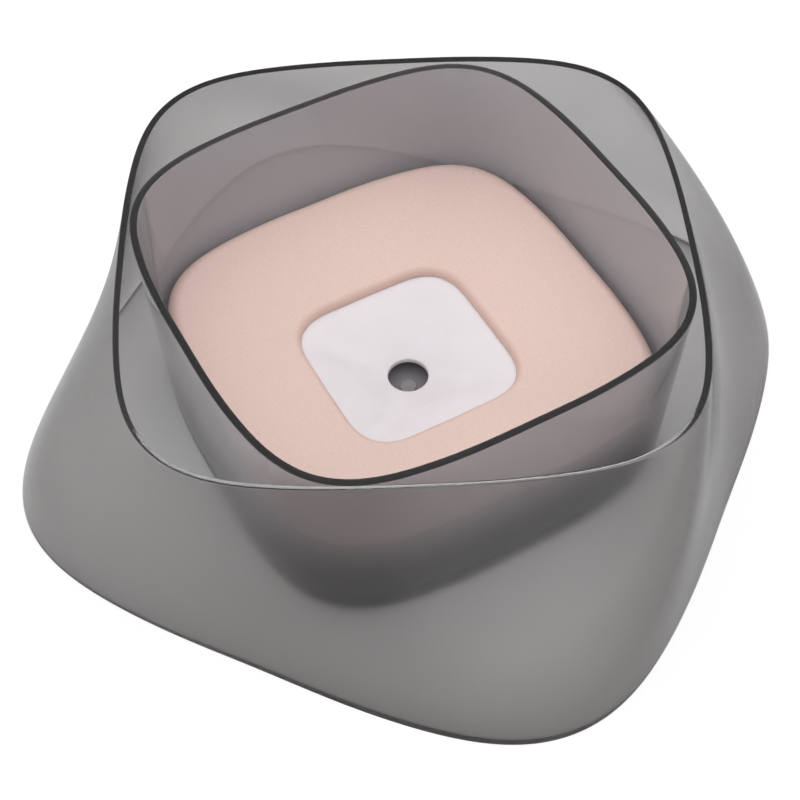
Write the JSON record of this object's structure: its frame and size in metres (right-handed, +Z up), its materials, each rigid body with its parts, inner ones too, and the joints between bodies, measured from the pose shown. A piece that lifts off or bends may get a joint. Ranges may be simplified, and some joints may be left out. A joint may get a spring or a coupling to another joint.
{
  "type": "floating pet water bowl",
  "caption": "Twisted clear skirt around a lift-out drinking bowl with a ring-shaped float whose dish lets a little water through.",
  "frame": {"origin": "middle of the foot, on the table the bowl stands on", "axes": "+Z up, -Y towards the picture's viewer, +X to the viewer's right"},
  "size_m": [0.2842, 0.2842, 0.083],
  "materials": {
    "smoke_plastic": "clear polished plastic with a grey smoke tint",
    "soft_ring": "matt dark grey soft ring",
    "pink_plastic": "matt moulded plastic in dusty pink",
    "white_plastic": "polished white plastic"
  },
  "bodies": {
    "skirt": {"skirt": "smoke_plastic"},
    "bowl": {"bowl": "smoke_plastic", "grip_ring": "soft_ring"},
    "float": {"float_cover": "pink_plastic", "float_tray": "white_plastic"}
  },
  "joints": [
    {"name": "bowl_lift", "type": "slide", "parent": "skirt", "child": "bowl", "axis": [0, 0, 1], "range_m": [0, 0.09]},
    {"name": "float_rise", "type": "slide", "parent": "bowl", "child": "float", "axis": [0, 0, 1], "range_m": [0, 0.04]}
  ]
}
